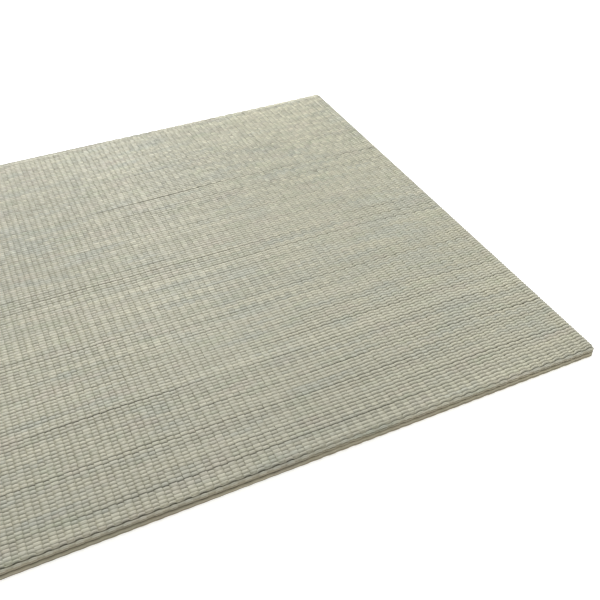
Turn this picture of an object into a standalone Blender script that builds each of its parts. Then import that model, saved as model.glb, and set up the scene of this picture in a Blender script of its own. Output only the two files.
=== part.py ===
"""A square, borderless tatami mat lying flat.

One thick woven rush mat: its rush runs from side to side (X), its warps run from the near edge to the
far edge (Y) and raise the rush into ribs, and the weave folds down over all four edges to a flat
underside. The origin is at the middle of the underside.
"""

import math

import bmesh
import bpy

NAME = "tatami_mat"

SIDE = 0.700
THICKNESS = 0.015
CORNER_RADIUS = 0.008

# One rib is a raised column of rush and the flatter, narrower column beside it.
RIBS = 49
RIB_PITCH = SIDE / RIBS
RIB_FROM_RIGHT_EDGE = 0.60 * RIB_PITCH
RIB_CREST_HALF = 0.14 * RIB_PITCH
RIB_FOOT_HALF = 0.31 * RIB_PITCH
RIB_HEIGHT = 0.0012

# The weave is pulled a little tighter along some stretches than along others.
UNEVEN_HEIGHT = 0.0003
UNEVEN_WAVES = 5
LENGTHWISE_STEPS = 6

# The folded edge, from the top down. "inset" is how far it lies inside the outline, "height" is above
# the underside, "turn" is how far the surface has turned from facing up (0) to facing out (1), and
# "rib" is how much of a rib's height is left. The near and far edges have a crease where two rows of
# rush part, which is the "crease" column, in further than the inset.
FOLD = (
    dict(inset=0.0044, height=0.0138, turn=0.0, rib=1.0, crease=0.0),
    dict(inset=0.0015, height=0.0127, turn=0.5, rib=0.9, crease=0.0),
    dict(inset=0.0007, height=0.0098, turn=1.0, rib=0.7, crease=0.0),
    dict(inset=0.0007, height=0.0078, turn=1.0, rib=0.6, crease=0.0012),
    dict(inset=0.0007, height=0.0060, turn=1.0, rib=0.6, crease=0.0),
    dict(inset=0.0010, height=0.0022, turn=1.0, rib=0.5, crease=0.0),
    dict(inset=0.0026, height=0.0, turn=1.0, rib=0.0, crease=0.0),
)
FOLD_RIB_REACH = 0.0007

RUSH_COLOUR = (0.46, 0.45, 0.36, 1.0)
RUSH_ROUGHNESS = 0.62


def clear_scene():
    """Empties the file of the objects that it opens with."""
    for thing in list(bpy.data.objects):
        bpy.data.objects.remove(thing, do_unlink=True)


def rib_lines():
    """Where the mat is creased lengthwise: the foot and the crest of each side of each rib."""
    lines = []
    for i in range(RIBS):
        middle = SIDE / 2 - RIB_FROM_RIGHT_EDGE - i * RIB_PITCH
        for offset in (RIB_FOOT_HALF, RIB_CREST_HALF, -RIB_CREST_HALF, -RIB_FOOT_HALF):
            lines.append(middle + offset)
    inside = SIDE / 2 - FOLD[0]["inset"]
    return [-inside] + sorted(x for x in lines if abs(x) < inside - 0.001) + [inside]


def row_lines():
    """Where the top is divided from the near edge to the far one: closely at the corners, then evenly."""
    inside = SIDE / 2 - FOLD[0]["inset"]
    straight = SIDE / 2 - CORNER_RADIUS
    even = [straight * (2 * i / LENGTHWISE_STEPS - 1) for i in range(LENGTHWISE_STEPS + 1)]
    return [-inside] + even + [inside]


def rib_share(x):
    """How much of a rib's height the mat has at x: 1 on a crest and 0 between two ribs."""
    along = (SIDE / 2 - RIB_FROM_RIGHT_EDGE - x) / RIB_PITCH
    off = abs(along - round(along)) * RIB_PITCH
    share = (RIB_FOOT_HALF - off) / (RIB_FOOT_HALF - RIB_CREST_HALF)
    return min(max(share, 0.0), 1.0)


def uneven(x, y):
    """The gentle rise and fall of the top, never above its nominal height."""
    across = math.sin(2 * math.pi * UNEVEN_WAVES * x / SIDE + 0.8 * math.sin(2 * math.pi * y / SIDE))
    along = math.sin(2 * math.pi * (UNEVEN_WAVES - 2) * y / SIDE + 1.1)
    return UNEVEN_HEIGHT * (across * along - 1) / 2


def outline_ray(co):
    """The centre that the outline turns round beside a point, and the direction out from it."""
    reach = SIDE / 2 - CORNER_RADIUS
    x = min(max(co.x, -reach), reach)
    y = min(max(co.y, -reach), reach)
    out_x, out_y = co.x - x, co.y - y
    length = math.hypot(out_x, out_y)
    return x, y, out_x / length, out_y / length


def place_fold(vert, row):
    """Puts a point of the folded edge on its row of FOLD, along the ray it lies on."""
    x, y, out_x, out_y = outline_ray(vert.co)
    across = abs(out_y)
    reach = CORNER_RADIUS - row["inset"] - row["crease"] * across
    vert.co = (x + out_x * reach, y + out_y * reach, row["height"])


def raise_fold_rib(vert, row):
    """Lifts a point of the folded edge by its rib: up on the top, out on the side, both on the turn."""
    _, _, out_x, out_y = outline_ray(vert.co)
    share = rib_share(vert.co.x) * abs(out_y) + (1 - abs(out_y))
    angle = row["turn"] * math.pi / 2
    up = RIB_HEIGHT * row["rib"] * rib_share(vert.co.x) * math.cos(angle)
    out = min(RIB_HEIGHT * row["rib"], FOLD_RIB_REACH) * share * math.sin(angle)
    vert.co.x += out_x * out
    vert.co.y += out_y * out
    vert.co.z += up


def mat_mesh():
    """The mat as one closed mesh: a ribbed top, the folded edge ring by ring, and a flat underside."""
    columns, rows = rib_lines(), row_lines()
    bm = bmesh.new()
    bmesh.ops.create_grid(bm, x_segments=len(columns) - 1, y_segments=len(rows) - 1, size=0.5)
    for vert in bm.verts:
        vert.co.x = columns[round((vert.co.x + 0.5) * (len(columns) - 1))]
        vert.co.y = rows[round((vert.co.y + 0.5) * (len(rows) - 1))]
        vert.co.z = FOLD[0]["height"]
    edges = [edge for edge in bm.edges if edge.is_boundary]
    ring = list({vert for edge in edges for vert in edge.verts})
    inner = set(bm.verts) - set(ring)
    rings = []
    for row in FOLD:
        if rings:
            made = bmesh.ops.extrude_edge_only(bm, edges=edges)["geom"]
            ring = [item for item in made if isinstance(item, bmesh.types.BMVert)]
            edges = [item for item in made if isinstance(item, bmesh.types.BMEdge) and item.is_boundary]
        for vert in ring:
            place_fold(vert, row)
        rings.append(ring)
    bmesh.ops.contextual_create(bm, geom=edges)
    for ring, row in zip(rings, FOLD):
        for vert in ring:
            raise_fold_rib(vert, row)
    for vert in inner:
        vert.co.z += RIB_HEIGHT * rib_share(vert.co.x) + uneven(vert.co.x, vert.co.y)
    bmesh.ops.recalc_face_normals(bm, faces=bm.faces)
    mesh = bpy.data.meshes.new("rush_mat")
    bm.to_mesh(mesh)
    bm.free()
    return mesh


def rush_material():
    """Silver-green woven rush."""
    material = bpy.data.materials.new("rush")
    material.use_nodes = True
    shader = material.node_tree.nodes["Principled BSDF"]
    shader.inputs["Base Color"].default_value = RUSH_COLOUR
    shader.inputs["Roughness"].default_value = RUSH_ROUGHNESS
    shader.inputs["Metallic"].default_value = 0.0
    return material


def build():
    """Makes the mat in its own collection."""
    clear_scene()
    collection = bpy.data.collections.new(NAME)
    bpy.context.scene.collection.children.link(collection)
    mesh = mat_mesh()
    mesh.materials.append(rush_material())
    mat = bpy.data.objects.new("rush_mat", mesh)
    collection.objects.link(mat)


build()
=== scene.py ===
"""A borderless tatami mat, woven strand by strand over its folded edges, on a pale floor."""

import math

import bpy
import numpy as np
from mathutils import Euler, Matrix, Vector


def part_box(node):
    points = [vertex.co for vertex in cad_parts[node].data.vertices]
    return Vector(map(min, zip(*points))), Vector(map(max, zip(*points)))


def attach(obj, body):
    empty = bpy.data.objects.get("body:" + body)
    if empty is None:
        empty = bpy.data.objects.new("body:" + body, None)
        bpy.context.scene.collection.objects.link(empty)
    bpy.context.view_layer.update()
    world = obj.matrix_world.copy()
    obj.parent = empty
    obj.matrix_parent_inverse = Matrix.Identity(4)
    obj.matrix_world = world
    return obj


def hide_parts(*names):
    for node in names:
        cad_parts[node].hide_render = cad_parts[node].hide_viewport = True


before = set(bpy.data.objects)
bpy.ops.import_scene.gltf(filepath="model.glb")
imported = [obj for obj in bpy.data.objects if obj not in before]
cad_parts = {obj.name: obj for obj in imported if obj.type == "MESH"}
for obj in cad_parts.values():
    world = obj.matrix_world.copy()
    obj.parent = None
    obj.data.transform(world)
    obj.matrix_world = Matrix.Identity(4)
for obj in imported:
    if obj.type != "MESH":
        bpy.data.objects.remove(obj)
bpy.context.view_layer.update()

MAT_LOW, MAT_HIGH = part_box("rush_mat")
SIDE = MAT_HIGH.x - MAT_LOW.x
HALF = SIDE / 2
THICKNESS = MAT_HIGH.z

# The weave. A column is the width between two warps. Picks are single strands, counted from the near
# edge: an even pick floats over the wide, raised columns and an odd one over the narrow, sunk ones. The
# first and the last few are folded over the near and far edges, where they lie closer together.
COLUMNS = 98
COLUMN = SIDE / COLUMNS
RIB = 2 * COLUMN
RIB_MIDDLE = HALF - 1.2 * COLUMN
TOP_PICKS = 306
EDGE_PICKS = 12
EDGE_CROWDING = 0.60
PICKS = TOP_PICKS + 2 * EDGE_PICKS
PIECES = ("near_edge", "near", "middle", "far", "far_edge")

# The surface that the strands are woven about: a flat top, a fold down, a side and a tuck under. A
# strand that has gone round a corner sinks in by the corner's tuck.
MIDDLE_HEIGHT = THICKNESS - 0.0017
SIDE_INSET = 0.0014
FOLD_RADIUS = 0.0028
TUCK_RADIUS = 0.0022
TUCK_HEIGHT = 0.0012
TUCK_LENGTH = 0.0020
CORNER_RADIUS = 0.006
CORNER_TUCK = 0.0010
FLAT_HALF = HALF - SIDE_INSET - FOLD_RADIUS
FOLD_ARC = FOLD_RADIUS * math.pi / 2
DROP = MIDDLE_HEIGHT - TUCK_HEIGHT - FOLD_RADIUS - TUCK_RADIUS
TUCK_ARC = TUCK_RADIUS * math.pi / 2
ARC_END = FLAT_HALF + FOLD_ARC + DROP + TUCK_ARC + TUCK_LENGTH
PITCH = 2 * FLAT_HALF / TOP_PICKS

# Each kind of strand: its rings along one rib, as shares of the rib from the middle of its float, with
# its lift from the woven surface, its thickness above its own middle and its share of the full width.
RAISED = dict(
    sides=((-1.0, 0.0), (-0.70, 0.76), (0.0, 1.0), (0.70, 0.76), (1.0, 0.0)),
    rings=(
        dict(at=-0.31, lift=-0.0036, thick=0.0008, wide=0.85),
        dict(at=-0.26, lift=-0.0003, thick=0.0009, wide=0.98),
        dict(at=-0.15, lift=0.0003, thick=0.0010, wide=1.0),
        dict(at=0.0, lift=0.0005, thick=0.0010, wide=1.0),
        dict(at=0.15, lift=0.0003, thick=0.0010, wide=1.0),
        dict(at=0.26, lift=-0.0003, thick=0.0009, wide=0.98),
        dict(at=0.31, lift=-0.0036, thick=0.0008, wide=0.85),
    ),
)
SUNK = dict(
    sides=((-1.0, 0.2), (-0.60, 0.90), (0.60, 0.90), (1.0, 0.2)),
    rings=(
        dict(at=-0.30, lift=-0.0036, thick=0.0009, wide=0.85),
        dict(at=-0.25, lift=-0.0009, thick=0.0010, wide=1.0),
        dict(at=0.0, lift=-0.0008, thick=0.0010, wide=1.0),
        dict(at=0.25, lift=-0.0009, thick=0.0010, wide=1.0),
        dict(at=0.30, lift=-0.0036, thick=0.0009, wide=0.85),
    ),
)

# Where a strand dives under a warp its lift is lower than this, and the relief leaves it as it is. At
# both of its ends it has this lift, thickness and width.
DIVES_BELOW = -0.0015
END_RING = (-0.0008, 0.0006, 0.6)

# How much of that rise and fall is left down the left and right sides, near the far edge, towards the
# far left of the top, and down the near and far sides, where the raised strands run on as ropes. The
# rope that is tucked under is the flattest.
SIDE_LIFT = 0.35
FAR_LIFT = 0.35
FAR_LEFT_LIFT = 0.3
ROPE_LIFT = 0.30
LAST_ROPE_LIFT = 0.14

# The ropes: how thick they are above their own middle, how far under them the sunk strands are pressed,
# and how far they sway on each rib.
ROPE_THICK = 0.0012
COVERED = 0.0020
ROPE_WAVE = 0.00045

# How unevenly it is woven: where each float ends along its strand, and where the strand lies.
END_WOBBLE = 0.00012
ROW_WOBBLE = 0.00010

# The crease that the near and far sides have between two ropes.
CREASE_HEIGHT = 0.0078
CREASE_REACH = 0.0024
CREASE_DEPTH = 0.0012

# By place across the mat from the left edge (0) to the right edge (1): how far the ribs have drifted from
# even spacing, in columns, how wide the raised floats are, how far the sunk floats lie beyond the middle
# between two raised ones, in columns, how strong the relief is, how full the strands are, and how wide a
# groove is left at the right end of a raised float, as a share of a rib.
RIB_DRIFT = ((0.0, 0.0), (0.22, -0.9), (0.60, -0.2), (0.84, 0.0), (1.0, 0.0))
RAISED_WIDTH = ((0.0, 0.88), (0.35, 0.90), (0.75, 1.08), (1.0, 1.10))
SUNK_SHIFT = ((0.0, -0.09), (0.29, -0.11), (0.45, -0.165), (0.68, -0.30), (0.85, -0.29), (1.0, -0.27))
RELIEF = ((0.0, 0.75), (0.26, 0.7), (0.42, 0.4), (0.60, 0.45), (0.80, 0.85), (1.0, 1.0))
FULLNESS = ((0.0, 0.70), (0.30, 0.70), (0.45, 0.60), (0.68, 0.90), (0.85, 1.10), (1.0, 1.15))
SUNK_FULLNESS = 0.75
GROOVE = ((0.0, 0.035), (0.45, 0.022), (0.70, 0.012), (1.0, 0.012))

# How the rows bow towards the near edge, in columns, by their place across the mat from the left edge (0)
# to the right edge (1), and how much of that bow is left from the near edge (0) to the far edge (1).
BOW = ((0.0, -0.3), (0.2, -0.1), (0.34, 0.0), (0.58, 0.6), (0.82, 0.0), (1.0, -1.2))
BOW_SHARE = ((0.0, 0.35), (0.25, 0.9), (0.6, 1.0), (1.0, 0.25))

# The long partings between rows: how far from the middle of the mat towards the far edge, from where to
# where across it, all in columns, and how wide in metres.
PARTINGS = (
    (40.0, -36, -8, 0.00008),
    (21.4, -12, 49, 0.00087),
    (17.7, -8, 49, 0.00069),
    (14.9, -46, 0, 0.00032),
    (9.7, 20, 40, 0.00041),
    (8.0, -20, 2, 0.00050),
    (1.2, -34, -4, 0.00069),
    (0.2, 30, 45, 0.00055),
    (-3.0, -12, 18, 0.00041),
    (-15.3, -44, -2, 0.00055),
    (-19.5, -44, -2, 0.00064),
    (-22.8, 0, 49, 0.00055),
    (-27.0, 4, 49, 0.00055),
    (-29.9, -49, 49, 0.00073),
    (-34.9, -45, -11, 0.00064),
    (-35.2, -11, 49, 0.00064),
    (-37.9, -45, -14, 0.00057),
    (-43.0, -20, 49, 0.00029),
    (-46.0, -30, 20, 0.00037),
)

# The partings between the rows folded over the near edge: how many picks back from the first one on
# top, how wide all along, and how much wider at the left, in between and at the right, in metres.
EDGE_PARTINGS = (
    (1, 0.00030, 0.00070, 0.0, 0.00010),
    (3, 0.00010, 0.0, 0.00035, 0.00015),
    (5, 0.00080, 0.00040, 0.0, 0.00018),
    (7, 0.00020, 0.0, 0.0, 0.00030),
    (9, 0.00020, 0.0, 0.0, 0.0),
)

# The small partings: how many are scattered over the top, how wide they are, how far they run to each
# side in columns, and how wide the one after every second pair of picks is.
SMALL_PARTINGS = 90
SMALL_WIDTH = (0.00015, 0.00040)
SMALL_REACH = (8, 30)
PAIR_PARTING = 0.00013

# The gap between any two strands of a kind, and the seed that everything uneven starts from.
GAP = 0.00010
SEED = 11


def smooth(x):
    """Eases from 0 to 1."""
    x = np.clip(x, 0.0, 1.0)
    return x * x * (3 - 2 * x)


def lattice_noise(rng, rows, along, row_step, along_step):
    """Smooth noise from -1 to 1 on rows by places along them, with the sizes of its lumps given."""
    r = rows / row_step
    a = (along - along.min()) / along_step
    knots = rng.uniform(-1, 1, (int(r.max()) + 3, int(a.max()) + 3))
    r0, a0 = np.floor(r).astype(int), np.floor(a).astype(int)
    rf, af = smooth(r - r0)[:, None], smooth(a - a0)[None, :]
    r0, a0 = r0[:, None], a0[None, :]
    low = knots[r0, a0] * (1 - af) + knots[r0, a0 + 1] * af
    high = knots[r0 + 1, a0] * (1 - af) + knots[r0 + 1, a0 + 1] * af
    return low * (1 - rf) + high * rf


def across_mat(place):
    """A place as a share of the way from one edge of the mat (0) to the opposite one (1)."""
    return np.clip((place + HALF) / SIDE, 0, 1)


def eased(table, x):
    """A smooth curve through a short table of (place, value)."""
    places, values = np.array(table).T
    i = np.clip(np.searchsorted(places, x) - 1, 0, len(places) - 2)
    share = smooth((x - places[i]) / (places[i + 1] - places[i]))
    return values[i] * (1 - share) + values[i + 1] * share


def crack_field(rng, along):
    """How far each pick is parted from the next one, by place along them."""
    rows = np.arange(PICKS, dtype=float)
    field = 0.00012 * np.clip(lattice_noise(rng, rows, along, 1.0, 9 * COLUMN), 0, 1)
    field[1::4] += PAIR_PARTING
    for _ in range(SMALL_PARTINGS):
        pick = rng.integers(4, PICKS - 4) | 1
        middle, reach = rng.uniform(-HALF, HALF), rng.uniform(*SMALL_REACH) * COLUMN
        window = smooth(1.5 - abs(along - middle) / reach)
        field[pick] += rng.uniform(*SMALL_WIDTH) * window
    for place, left, right, width in PARTINGS:
        pick = EDGE_PICKS + round((place * COLUMN + FLAT_HALF) / (2 * FLAT_HALF) * TOP_PICKS) | 1
        window = smooth((along / COLUMN - left) / 6 + 0.5) * smooth((right - along / COLUMN) / 6 + 0.5)
        wander = 0.65 + 0.35 * lattice_noise(rng, np.zeros(1), along, 1.0, 8 * COLUMN)[0]
        field[pick] += width * wander * window
    return field


def edge_cracks(field, along):
    """The same with the deep partings between the rows folded over the near edge."""
    place = across_mat(along)
    left, right = smooth((0.54 - place) / 0.08), smooth((place - 0.60) / 0.10)
    between = (1 - left) * (1 - right)
    field[:EDGE_PICKS] *= 0.5
    for back, wide, more_left, more_between, more_right in EDGE_PARTINGS:
        field[EDGE_PICKS - back] += wide + more_left * left + more_between * between + more_right * right
    return field


def rope_wave(along, middle):
    """How far the ropes over the near and far edges sway towards the top on each rib."""
    drift = eased(RIB_DRIFT, across_mat(along)) * COLUMN
    sway = np.cos((along - RIB_MIDDLE - drift) / RIB * 2 * math.pi)
    past = abs(middle) - FLAT_HALF
    share = smooth((past + 0.0040) / 0.0040) * (1 - 0.7 * smooth(past / 0.010))
    return -np.sign(middle) * ROPE_WAVE * sway * share


def row_steps(rng, along, cracks):
    """How far each pick lies from the one before it, by place along them."""
    rows = np.arange(PICKS, dtype=float)
    natural = np.full(PICKS, PITCH)
    natural[:EDGE_PICKS] *= EDGE_CROWDING
    natural[-EDGE_PICKS:] *= EDGE_CROWDING
    uneven = 1 + 0.10 * lattice_noise(rng, rows, along, 1.0, 14 * COLUMN)
    uneven += 0.05 * lattice_noise(rng, rows, along, 7.0, 30 * COLUMN)
    room = natural[:, None] * uneven
    steps = (room[:-1] + room[1:]) / 2 + cracks[:-1]
    over_top = steps[EDGE_PICKS - 1 : -EDGE_PICKS + 1].sum(0)
    steps[EDGE_PICKS:-EDGE_PICKS] *= 2 * FLAT_HALF / over_top
    return steps


def row_middles(rng, along, cracks):
    """The middle of every pick: the rows bow, waver and sway, and the sunk ones shift between them."""
    steps = row_steps(rng, along, cracks)
    middle = np.vstack([np.zeros(len(along)), np.cumsum(steps, 0)])
    middle += -FLAT_HALF - middle[EDGE_PICKS] + PITCH / 2
    inside = smooth((FLAT_HALF + 0.004 - abs(middle)) / 0.02)
    middle += COLUMN * eased(BOW, across_mat(along)) * eased(BOW_SHARE, across_mat(middle)) * inside
    rows = np.arange(PICKS, dtype=float)
    middle += ROW_WOBBLE * lattice_noise(rng, rows, along, 1.0, 1.3 * COLUMN)
    middle += rope_wave(along, middle)
    shift = COLUMN * eased(SUNK_SHIFT, across_mat(along))
    middle[1::2] += shift * smooth((FLAT_HALF - abs(middle[1::2])) / 0.004)
    return middle


def woven_rows(along):
    """For every pick, its middle and its two edges, as arc lengths across the mat, by place along it."""
    rng = np.random.default_rng(SEED)
    cracks = edge_cracks(crack_field(rng, along), along)
    middle = row_middles(rng, along, cracks)
    parted = np.vstack([cracks[:1] * 0, cracks])
    ahead = (parted[1:] + np.vstack([parted[2:], parted[-1:]]) + GAP) / 2
    behind = (parted[:-1] + np.vstack([parted[:1], parted[:-2]]) + GAP) / 2
    two_on = np.vstack([middle[2:], middle[-2:] + PITCH])
    two_back = np.vstack([middle[:2] - PITCH, middle[:-2]])
    high = middle + (two_on - middle) / 2 - ahead
    low = middle - (middle - two_back) / 2 + behind
    return middle, low, high


def folded(arc):
    """Along the mat's section: how far out, how far down and which way the surface faces."""
    a, sign = abs(arc), np.sign(arc)
    turn = np.clip((a - FLAT_HALF) / FOLD_RADIUS, 0, math.pi / 2)
    down = np.clip(a - FLAT_HALF - FOLD_ARC, 0, DROP)
    tuck = np.clip((a - FLAT_HALF - FOLD_ARC - DROP) / TUCK_RADIUS, 0, math.pi / 2)
    under = np.clip(a - FLAT_HALF - FOLD_ARC - DROP - TUCK_ARC, 0, TUCK_LENGTH)
    out = np.minimum(a, FLAT_HALF) + FOLD_RADIUS * np.sin(turn)
    out -= TUCK_RADIUS * (1 - np.cos(tuck)) + under
    fall = FOLD_RADIUS * (1 - np.cos(turn)) + down + TUCK_RADIUS * np.sin(tuck)
    return sign * out, fall, sign * (turn + tuck)


def over_sides(along, arc, lift):
    """Places of a top strand: straight across and folded down over the left and right edges."""
    x, fall_x, turn_x = folded(along)
    y, fall_y, turn_y = folded(arc)
    return np.stack(
        [
            x + lift * np.sin(turn_x) * np.cos(turn_y),
            y + lift * np.sin(turn_y),
            MIDDLE_HEIGHT - fall_x - fall_y + lift * np.cos(turn_x) * np.cos(turn_y),
        ],
        -1,
    )


def round_corners(along, arc, lift):
    """Places of an edge strand: along the near or far side and round both corners, tucked in there."""
    out, fall, turn = folded(arc)
    straight = HALF - CORNER_RADIUS
    radius = abs(out) - straight
    past = np.maximum(abs(along) - straight, 0)
    angle = np.minimum(past / radius, math.pi / 2)
    beyond = np.maximum(past - radius * math.pi / 2, 0)
    sunk = CORNER_TUCK * smooth((angle - 1.0) / 0.5)
    height = (MIDDLE_HEIGHT - fall - CREASE_HEIGHT) / CREASE_REACH
    reach = radius + lift * abs(np.sin(turn)) - sunk - CREASE_DEPTH * np.exp(-height * height)
    x = np.minimum(abs(along), straight) + reach * np.sin(angle)
    y = straight + reach * np.cos(angle) - np.minimum(beyond, 0.002)
    z = MIDDLE_HEIGHT - fall + lift * np.cos(turn)
    return np.stack([np.sign(along) * x, np.sign(arc) * y, z], -1)


def ring_places(kind, first):
    """The rings of one kind of strand from one end of it to the other: where, lift, thickness, width."""
    rings = []
    for rib in range(-2, COLUMNS // 2 + 3):
        middle = RIB_MIDDLE - (rib + first) * RIB
        share = across_mat(middle)
        middle += eased(RIB_DRIFT, share) * COLUMN
        stretch = eased(RAISED_WIDTH, share)
        stretch = stretch if kind is RAISED else 2 - stretch
        groove = eased(GROOVE, share) * RIB / 2
        full = eased(FULLNESS, share) * (1 if kind is RAISED else SUNK_FULLNESS)
        for ring in kind["rings"]:
            at = middle + ring["at"] * stretch * RIB
            if ring["at"] > 0.2 and kind is RAISED:
                at -= groove
            if ring["at"] < -0.2 and kind is SUNK:
                at += groove
            lift = ring["lift"] * (eased(RELIEF, share) if ring["lift"] > DIVES_BELOW else 1)
            rings.append((at, lift, ring["thick"] * full, ring["wide"]))
    rings = sorted(ring for ring in rings if abs(ring[0]) < ARC_END - 0.0008)
    return np.array([(-ARC_END, *END_RING), *rings, (ARC_END, *END_RING)]).T


def strand_blank(name, kind, rings):
    """One straight strand: a ring of few sides, extruded along X step by step, and closed at both ends."""
    bpy.ops.object.select_all(action="DESELECT")
    bpy.ops.mesh.primitive_circle_add(
        vertices=len(kind["sides"]), radius=1, location=(-1, 0, 0), rotation=(0, math.pi / 2, 0)
    )
    blank = bpy.context.object
    blank.name = name
    bpy.ops.object.transform_apply(location=True, rotation=True, scale=False)
    bpy.context.tool_settings.mesh_select_mode = (False, True, False)
    bpy.ops.object.mode_set(mode="EDIT")
    bpy.ops.mesh.select_all(action="SELECT")
    bpy.ops.mesh.extrude_repeat(steps=rings - 1, offset=(2 / (rings - 1), 0, 0))
    bpy.ops.mesh.select_all(action="SELECT")
    bpy.ops.mesh.fill_holes(sides=0)
    bpy.ops.mesh.select_all(action="SELECT")
    bpy.ops.mesh.normals_make_consistent(inside=False)
    bpy.ops.object.mode_set(mode="OBJECT")
    return blank


def read(items, name, width=1, kind=np.float32):
    """An array of one property of all a mesh's parts."""
    found = np.empty(len(items) * width, kind)
    items.foreach_get(name, found)
    return found.reshape(-1, width) if width > 1 else found


def ring_and_side(blank, kind, rings):
    """For each point of a blank strand, which ring it is on, and which side counting down from +Y to -Y."""
    co = read(blank.data.vertices, "co", 3).astype(float)
    sides = len(kind["sides"])
    ring = np.rint((co[:, 0] + 1) / 2 * (rings - 1)).astype(int)
    angle = np.arctan2(co[:, 2], co[:, 1])
    side = np.rint((angle[0] - angle) / (2 * math.pi / sides)).astype(int) % sides
    return ring, side


def lengthwise_map(blank, ring, side, kind, along):
    """Per face corner: the place along the strand, and round it from 0 to 1 with no step inside a face."""
    mesh = blank.data
    sides = len(kind["sides"])
    corner_ring = ring[read(mesh.loops, "vertex_index", kind=np.int32)]
    corner_side = side[read(mesh.loops, "vertex_index", kind=np.int32)].astype(float)
    u, v = along[corner_ring], corner_side.copy()
    for face in mesh.polygons:
        span = slice(face.loop_start, face.loop_start + face.loop_total)
        if face.loop_total == 4 and np.ptp(corner_ring[span]) > 0:
            if np.ptp(corner_side[span]) > 1:
                v[span][corner_side[span] == 0] = sides
        else:
            turn = corner_side[span] * 2 * math.pi / sides
            end = np.sign(u[span])
            u[span] -= end * 0.0002 * (1 + np.cos(turn))
            v[span] = sides * (0.4 + 0.2 * np.sin(turn))
    return u, v / sides


def strand_sections(kind, places, middle, low, high):
    """Places across and above a strand's own line, for each ring and side of it."""
    _, lift, thick, wide = places
    down = over_edge(middle)
    thick = thick + (ROPE_THICK - thick) * down
    wide = wide + (1 - wide) * down
    sides = np.array(kind["sides"])
    across = np.where(
        sides[None, :, 0] < 0,
        sides[None, :, 0] * (middle - low)[:, None],
        sides[None, :, 0] * (high - middle)[:, None],
    )
    return middle[:, None] + across * wide[:, None], lift[:, None] + sides[None, :, 1] * thick[:, None]


def add_map(mesh, name, u, v):
    """A UV map from the two values of each face corner."""
    layer = mesh.uv_layers.new(name=name)
    layer.data.foreach_set("uv", np.stack([u, v], 1).astype(np.float32).ravel())


def strand_mesh(made, pick, row, order, count):
    """One strand shaped to its row, with a map for its material and one that no two strands share."""
    kind, blank, places, ring, side, map_u, map_v = made
    arc, lift = strand_sections(kind, places, *row)
    wobble = np.random.default_rng(SEED + pick).normal(0, END_WOBBLE, len(places[0]))
    along = np.repeat((places[0] + wobble)[:, None], len(kind["sides"]), 1)
    lift = settle(along, arc, press(along, arc, lift, places, kind))
    top = EDGE_PICKS <= pick < EDGE_PICKS + TOP_PICKS
    where = over_sides(along, arc, lift) if top else round_corners(along, arc, lift)
    mesh = blank.data.copy()
    mesh.vertices.foreach_set("co", where[ring, side].astype(np.float32).ravel())
    add_map(mesh, "strand", map_u, pick + 0.02 + 0.96 * map_v)
    add_map(mesh, "OFBake", 0.5 + map_u / (2 * ARC_END) * 0.998, (order + 0.04 + 0.92 * map_v) / count)
    return mesh


def weave_piece(name, picks, kinds, rows):
    """One band of the weave: its strands, joined into one mesh."""
    strands = []
    for order, pick in enumerate(picks):
        row = [part[pick % 2][pick] for part in rows]
        mesh = strand_mesh(kinds[pick % 2], pick, row, order, len(picks))
        strand = bpy.data.objects.new(f"{name}_strand", mesh)
        bpy.context.scene.collection.objects.link(strand)
        strands.append(strand)
    bpy.ops.object.select_all(action="DESELECT")
    for strand in strands:
        strand.select_set(True)
    bpy.context.view_layer.objects.active = strands[0]
    bpy.ops.object.join()
    piece = bpy.context.object
    piece.name = name
    bpy.ops.object.shade_smooth_by_angle(angle=math.radians(75))
    return piece


def over_edge(arc):
    """How far a place across the mat has gone over the near or far edge, from 0 to 1."""
    return smooth((abs(arc) - FLAT_HALF + 0.0035) / 0.0040)


def press(along, arc, lift, places, kind):
    """A strand's lift with its rise and fall pressed flatter down the sides and towards the far edge."""
    aside = smooth(abs(folded(along)[2]) - 0.1)
    away = smooth((arc - FLAT_HALF + 0.010) / 0.009)
    far_left = smooth((arc / HALF + 0.1) / 0.8) * smooth((0.10 - along / HALF) / 0.8)
    down = over_edge(arc)
    rope = ROPE_LIFT + (LAST_ROPE_LIFT - ROPE_LIFT) * smooth((abs(arc) - FLAT_HALF) / 0.010)
    left = (1 - (1 - SIDE_LIFT) * aside) * (1 - (1 - FAR_LIFT) * away) * (1 - (1 - rope) * down)
    left = left * (1 - (1 - FAR_LEFT_LIFT) * far_left)
    return lift - places[1][:, None] * (1 - left) - (COVERED * down if kind is SUNK else 0)


def settle(along, arc, lift):
    """Presses a strand flat where it is tucked under, so that the mat lies on its underside."""
    under = np.maximum(abs(folded(along)[2]), abs(folded(arc)[2])) - math.pi / 2
    share = smooth(under / (math.pi / 2) * 1.6)
    return lift * (1 - share) + np.minimum(lift, 0.0007) * share


def weave():
    """The whole weave as a few pieces, from the near edge to the far one."""
    kinds, spread = [], []
    for kind, name, first in ((RAISED, "raised_strand", 0.0), (SUNK, "sunk_strand", 0.5)):
        places = ring_places(kind, first)
        count = places.shape[1]
        blank = strand_blank(name, kind, count)
        ring, side = ring_and_side(blank, kind, count)
        map_u, map_v = lengthwise_map(blank, ring, side, kind, places[0])
        kinds.append((kind, blank, places, ring, side, map_u, map_v))
        spread.append(woven_rows(places[0]))
    rows = tuple((spread[0][i], spread[1][i]) for i in range(3))
    share = PICKS // len(PIECES)
    pieces = []
    for i, name in enumerate(PIECES):
        band = range(i * share, (i + 1) * share)
        pieces.append(weave_piece(f"weave_{name}", band, kinds, rows))
    for kind in kinds:
        bpy.data.objects.remove(kind[1])
    return pieces


# The slab under the strands: how far it lies inside the sides and below the top of the woven surface,
# and how it is rounded at its corners, along its top and along its foot.
SLAB_INSET = 0.0030
SLAB_DEPTH = 0.0044
SLAB_CORNER_RADIUS = 0.0036
SLAB_TOP_RADIUS = 0.0025
SLAB_FOOT_RADIUS = 0.0030


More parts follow.
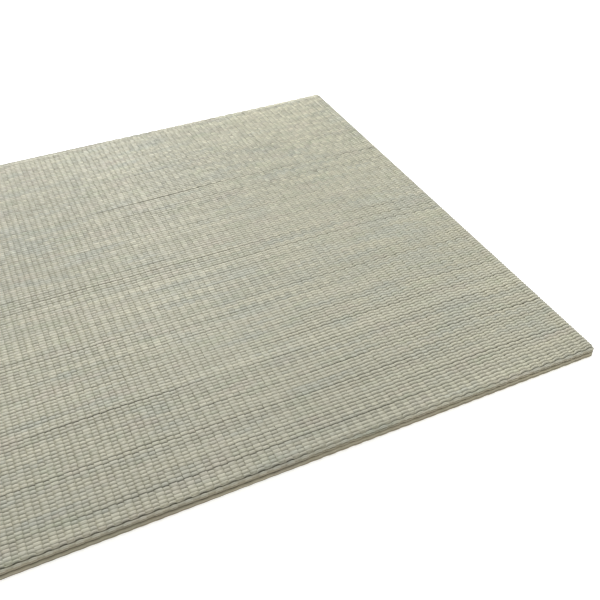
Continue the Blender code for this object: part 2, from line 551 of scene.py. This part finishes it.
def ground():
    """The flat underside and the bed that shows between the strands, as one rounded slab; its material
    paints the bed dark brown as shade.
    """
    bpy.ops.object.select_all(action="DESELECT")
    top, inset = MIDDLE_HEIGHT - SLAB_DEPTH, SIDE_INSET + SLAB_INSET
    bpy.ops.mesh.primitive_cube_add(size=1, location=(0, 0, top / 2))
    slab = bpy.context.object
    slab.name = "underside"
    slab.scale = (SIDE - 2 * inset, SIDE - 2 * inset, top)
    bpy.ops.object.transform_apply(location=True, rotation=False, scale=True)
    bevel_edges(slab, lambda a, b: abs(a.z - b.z) > top / 2, SLAB_CORNER_RADIUS, 5)
    bevel_edges(slab, lambda a, b: min(a.z, b.z) > top - 1e-5, SLAB_TOP_RADIUS, 4)
    bevel_edges(slab, lambda a, b: max(a.z, b.z) < 1e-5, SLAB_FOOT_RADIUS, 4)
    bpy.ops.object.shade_smooth_by_angle(angle=math.radians(40))
    return slab


def bevel_edges(piece, wanted, width, segments):
    """Rounds the edges of a piece that wanted picks by their two ends."""
    mesh = piece.data
    for part in (*mesh.vertices, *mesh.edges, *mesh.polygons):
        part.select = False
    for edge in mesh.edges:
        a, b = (mesh.vertices[i] for i in edge.vertices)
        if wanted(a.co, b.co):
            edge.select = a.select = b.select = True
    bpy.context.tool_settings.mesh_select_mode = (False, True, False)
    bpy.ops.object.mode_set(mode="EDIT")
    bpy.ops.mesh.bevel(offset=width, segments=segments, affect="EDGES")
    bpy.ops.object.mode_set(mode="OBJECT")


class Shade:
    """A value in a material: sums and products of these add the Math nodes that work them out."""

    def __init__(self, tree, socket):
        self.tree, self.socket = tree, socket

    def node(self, kind, settings=None, **sockets):
        """A node with its settings made first and then its sockets, by name or by _number."""
        made = self.tree.nodes.new(kind)
        for key, value in (settings or {}).items():
            setattr(made, key, value)
        for key, value in sockets.items():
            target = made.inputs[int(key[1:]) if key[1:].isdigit() else key.replace("_", " ")]
            if isinstance(value, Shade):
                self.tree.links.new(value.socket, target)
            else:
                target.default_value = value
        return made

    def out(self, made, name=0):
        return Shade(self.tree, made.outputs[name])

    def math(self, operation, *values, clamp=False):
        settings = {"operation": operation, "use_clamp": clamp}
        return self.out(self.node("ShaderNodeMath", settings, **{f"_{i}": v for i, v in enumerate(values)}))

    def __add__(self, other):
        return self.math("ADD", self, other)

    def __radd__(self, other):
        return self.math("ADD", other, self)

    def __sub__(self, other):
        return self.math("SUBTRACT", self, other)

    def __rsub__(self, other):
        return self.math("SUBTRACT", other, self)

    def __mul__(self, other):
        return self.math("MULTIPLY", self, other)

    def __rmul__(self, other):
        return self.math("MULTIPLY", other, self)

    def __truediv__(self, other):
        return self.math("DIVIDE", self, other)

    def band(self, low, high):
        """Rises smoothly from 0 at low to 1 at high."""
        settings = {"interpolation_type": "SMOOTHSTEP"}
        return self.out(self.node("ShaderNodeMapRange", settings, _0=self, _1=low, _2=high))

    def vector(self, x, y, z=0.0):
        return self.out(self.node("ShaderNodeCombineXYZ", X=x, Y=y, Z=z))

    def noise(self, where, scale=1.0, detail=2.0):
        made = self.node("ShaderNodeTexNoise", Vector=where, Scale=scale, Detail=detail)
        return self.out(made, "Fac")

    def mix(self, share, a, b, blend="MIX"):
        settings = {"data_type": "RGBA", "blend_type": blend}
        return self.out(self.node("ShaderNodeMix", settings, _0=share, _6=a, _7=b), 2)


def colour(red, green, blue):
    """A colour from its everyday 0 to 255 values."""
    linear = [c / 255 / 12.92 if c <= 10 else ((c / 255 + 0.055) / 1.055) ** 2.4 for c in (red, green, blue)]
    return (*linear, 1.0)


SILVER_GREEN = colour(196, 194, 174)
PALE_STRAW = colour(205, 202, 180)
LEAF_GREEN = colour(191, 194, 170)
BLUE_GREY = colour(189, 191, 177)
ROSY_BEIGE = colour(201, 194, 177)
# The bed's dark brown: painted shade in the partings between the strands.
BED_PAINTED_SHADE = colour(96, 90, 66)
# The warm tint of the painted shade down the near and far sides.
PAINTED_SIDE_SHADE_TINT = colour(255, 248, 238)


def new_material(name):
    """An empty material with a Principled shader, as (material, shader node, Shade to start from)."""
    material = bpy.data.materials.new(name)
    material.use_nodes = True
    tree = material.node_tree
    shader = tree.nodes["Principled BSDF"]
    return material, shader, Shade(tree, None)


def rush_colour(s, place, pick, broad):
    """The colour of dried rush: pale and green streaks along each strand, in soft drifts of tint."""
    own = s.out(s.node("ShaderNodeTexWhiteNoise", {"noise_dimensions": "1D"}, W=pick))
    streak = s.noise(s.vector(place * 0.05, pick * 0.21, own * 0.4), detail=3)
    patch = s.noise(s.vector(place * 0.14, pick * 0.15, 7.0))
    second = s.noise(s.vector(place * 0.10, pick * 0.16, 23.0))
    third = s.noise(s.vector(place * 0.12, pick * 0.13, 41.0))
    drift = s.noise(broad, scale=5.0)
    shade = s.mix(streak.band(0.36, 0.70), SILVER_GREEN, PALE_STRAW)
    shade = s.mix(patch.band(0.50, 0.75) * 0.7, shade, LEAF_GREEN)
    shade = s.mix((second + drift * 0.5).band(0.72, 0.98) * 0.7, shade, BLUE_GREY)
    shade = s.mix((third - drift * 0.3).band(0.38, 0.60) * 0.6, shade, ROSY_BEIGE)
    return shade, own


def strand_light(s, broad, own, fibre, float_tint, round_it):
    """How light a strand is, with painted shade towards the next one, and how far down the sides a place is,
    which carries painted shade there.
    """
    parts = s.node("ShaderNodeSeparateXYZ", Vector=broad)
    x, y, z = (s.out(parts, name) for name in "XYZ")
    away, right, near = y.band(-0.15, 0.25), x.band(0.0, 0.30), 1 - y.band(-0.33, -0.05)
    # Painted light and shade by place across the top: lighter to the right, and painted shade towards the
    # far left and the near left, where the light falls off.
    painted_light_by_place = 1.0 + right * 0.12 - away * (1 - x.band(-0.25, 0.05)) * 0.08 - near * (1 - right) * 0.09
    # Each strand's own tone, its float tint and its fibres, with painted shade towards the far edge.
    light = 0.80 + 0.12 * own + (0.14 + 0.44 * away) * float_tint - 0.305 * away + (fibre - 0.5) * 0.7
    # Painted shade along the edges of each strand, where it meets the next one. It is deeper to the right
    # and towards the far edge.
    painted_crevice_shade = s.math("ABSOLUTE", round_it - 0.40).band(0.19, 0.42)
    # Painted shade down the near and far sides, below the top.
    painted_side_shade = 1 - z.band(0.0108, 0.0131)
    light = light * painted_light_by_place * (1 - painted_crevice_shade * (0.20 + 0.20 * right + 0.20 * away)) * (1 - painted_side_shade * 0.24)
    return light, painted_side_shade


def strand_material():
    """Woven rush: each strand has its own tint, fine fibres along it and a soft gleam, with painted shade
    between the strands, down the near and far sides and across the top by place.
    """
    material, shader, s = new_material("rush_strands")
    uv = s.node("ShaderNodeUVMap", {"uv_map": "strand"})
    parts = s.node("ShaderNodeSeparateXYZ", Vector=s.out(uv))
    along, count = s.out(parts, "X") / COLUMN, s.out(parts, "Y")
    pick = s.math("FLOOR", count)
    round_it = count - pick
    broad = s.out(s.node("ShaderNodeTexCoord"), "Object")
    shade, own = rush_colour(s, along, pick, broad)
    fibre = s.noise(s.vector(along * 0.9, round_it * 16 + own * 60), detail=3)
    fine = s.noise(s.vector(along * 2.6, round_it * 40 + own * 90), detail=2)
    float_tint = s.noise(s.vector(along * 0.5, pick * 1.7, 5.0), detail=0)
    light, painted_side_shade = strand_light(s, broad, own, fibre, float_tint, round_it)
    shade = s.mix(1.0, shade, s.vector(light, light, light), "MULTIPLY")
    # The painted shade down the sides also turns them warmer.
    shade = s.mix(painted_side_shade, shade, s.mix(1.0, shade, PAINTED_SIDE_SHADE_TINT, "MULTIPLY"))
    shader.inputs["Specular IOR Level"].default_value = 0.4
    links = material.node_tree.links
    links.new(shade.socket, shader.inputs["Base Color"])
    links.new((0.50 + fibre * 0.2).socket, shader.inputs["Roughness"])
    bump = s.node("ShaderNodeBump", Strength=0.6, Distance=0.0004, Height=fibre * 0.7 + fine * 0.3)
    links.new(bump.outputs["Normal"], shader.inputs["Normal"])
    return material


def ground_material():
    """The underside's plain close weave, with painted shade between its humps, and the bed between the
    strands, painted dark brown as shade.
    """
    material, shader, s = new_material("rush_underside")
    where = s.out(s.node("ShaderNodeTexCoord"), "Object")
    parts = s.node("ShaderNodeSeparateXYZ", Vector=where)
    x, y, z = (s.out(parts, name) for name in "XYZ")
    across = x / COLUMN
    column = s.math("FLOOR", across)
    row = y / (2 * PITCH) + column * 0.5
    pick = s.math("FLOOR", row)
    shade, own = rush_colour(s, across, pick * 2, where)
    hump_y = s.math("SINE", (row - pick) * math.pi)
    hump_x = s.math("SINE", (across - column) * math.pi)
    height = s.math("POWER", hump_y, 0.6) * s.math("POWER", hump_x, 0.35)
    # The underside's own tone, with painted shade in the hollows between the humps of its weave.
    light = (0.62 + 0.1 * own) * (0.45 + 0.55 * height)
    under = s.mix(1.0, shade, s.vector(light, light, light), "MULTIPLY")
    # Low down the underside keeps its weave. Above that is the bed, painted dark brown as the shade in the
    # partings.
    low = 1 - z.band(0.0002, 0.0012)
    links = material.node_tree.links
    links.new(s.mix(low, BED_PAINTED_SHADE, under).socket, shader.inputs["Base Color"])
    shader.inputs["Roughness"].default_value = 0.75
    bump = s.node("ShaderNodeBump", Strength=0.8, Distance=0.001, Height=height * low)
    links.new(bump.outputs["Normal"], shader.inputs["Normal"])
    return material


def floor():
    """A plain pale floor."""
    bpy.ops.object.select_all(action="DESELECT")
    bpy.ops.mesh.primitive_plane_add(size=12, location=(0, 0, -0.0003))
    plane = bpy.context.object
    plane.name = "floor"
    material, shader, _ = new_material("pale_floor")
    shader.inputs["Base Color"].default_value = (0.92, 0.92, 0.92, 1)
    shader.inputs["Roughness"].default_value = 0.9
    shader.inputs["Emission Color"].default_value = (1, 1, 1, 1)
    shader.inputs["Emission Strength"].default_value = 0.58
    plane.data.materials.append(material)


def area_light(name, place, aim, size, power):
    """A soft square light."""
    data = bpy.data.lights.new(name, "AREA")
    data.size = size
    data.energy = power
    lamp = bpy.data.objects.new(name, data)
    lamp.location = place
    lamp.rotation_euler = (Vector(aim) - Vector(place)).to_track_quat("-Z", "Y").to_euler()
    bpy.context.scene.collection.objects.link(lamp)


def lights():
    """Soft studio light, strongest from above and behind the mat."""
    world = bpy.data.worlds.new("studio")
    bpy.context.scene.world = world
    world.use_nodes = True
    world.node_tree.nodes["Background"].inputs["Color"].default_value = (1, 1, 1, 1)
    world.node_tree.nodes["Background"].inputs["Strength"].default_value = 0.55
    area_light("back_light", place=(0.0, 1.75, 1.15), aim=(0.0, 0.1, 0), size=1.0, power=44)
    area_light("front_fill", place=(1.6, -1.2, 2.2), aim=(0, 0, 0), size=2.0, power=5)
    bpy.context.scene.view_settings.view_transform = "Standard"


# The photograph's view, fitted to the weave: where the camera stands over the mat, in columns from its
# middle and above its top, and how it is turned.
CAMERA_PLACE = (-29.66, -113.05, 86.05)
CAMERA_YAW = 24.17
CAMERA_PITCH = 39.80
CAMERA_ROLL = -1.12
FOCAL_PIXELS = 813.2
FRAME_PIXELS = 600


def camera():
    """The camera at the photograph's angle."""
    data = bpy.data.cameras.new("camera")
    data.sensor_width = 36
    data.lens = FOCAL_PIXELS / FRAME_PIXELS * data.sensor_width
    data.clip_start = 0.01
    view = bpy.data.objects.new("camera", data)
    place = Vector(CAMERA_PLACE) * COLUMN
    place.z += THICKNESS - 0.0005
    turn = Euler((math.radians(90 - CAMERA_PITCH), 0, -math.radians(CAMERA_YAW)), "XYZ").to_matrix()
    roll = Matrix.Rotation(math.radians(CAMERA_ROLL), 3, "Z")
    view.matrix_world = Matrix.Translation(place) @ (turn @ roll).to_4x4()
    bpy.context.scene.collection.objects.link(view)
    bpy.context.scene.camera = view


def main():
    """Makes the mat's pieces and the studio round them."""
    camera()
    strands = strand_material()
    bed = ground()
    bed.data.materials.append(ground_material())
    pieces = weave()
    for piece in pieces:
        piece.data.materials.append(strands)
    for piece in (bed, *pieces):
        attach(piece, "root")
        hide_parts("rush_mat")
    floor()
    lights()


main()
